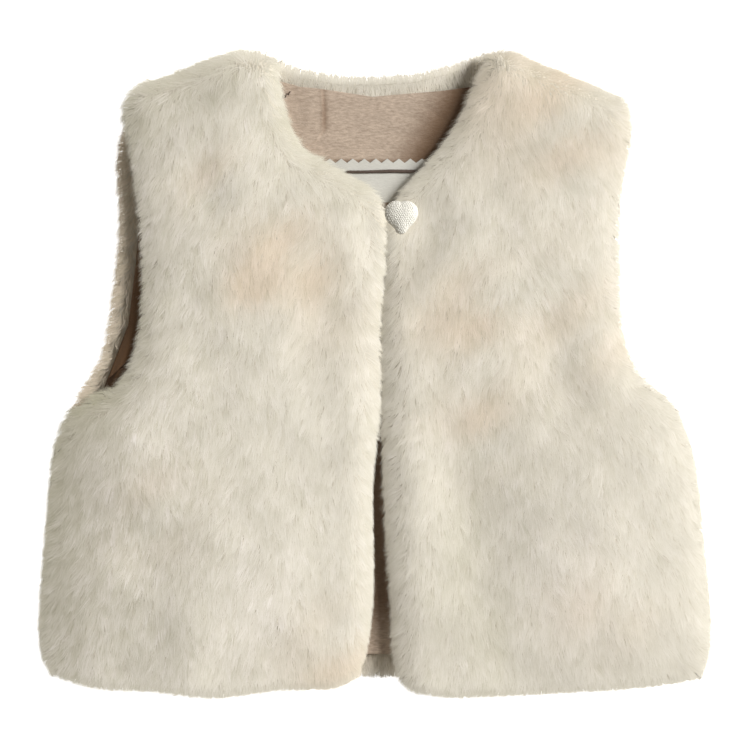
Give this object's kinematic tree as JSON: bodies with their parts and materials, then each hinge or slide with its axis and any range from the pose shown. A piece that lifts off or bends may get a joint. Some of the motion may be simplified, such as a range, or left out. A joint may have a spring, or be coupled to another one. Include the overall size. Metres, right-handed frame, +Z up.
{
  "type": "child's faux-fur gilet laid flat",
  "caption": "Sleeveless child's gilet of cream pile fabric with a jersey lining and a heart-shaped button at the neck, lying flat on its back.",
  "frame": {"origin": "on the surface the gilet lies on, under the middle of its outline", "axes": "+Z up from that surface, +Y from the hem to the shoulders, +X to the wearer's left"},
  "size_m": [0.3356, 0.3243, 0.0277],
  "materials": {
    "fur": "cream long-pile faux fur",
    "lining": "beige marl jersey",
    "label": "white woven tape",
    "button": "pearly seed beads"
  },
  "bodies": {
    "root": {"back_fur": "fur", "front_right_fur": "fur", "front_left_fur": "fur", "back_lining": "lining", "front_right_lining": "lining", "front_left_lining": "lining", "label": "label", "button": "button"}
  },
  "joints": []
}
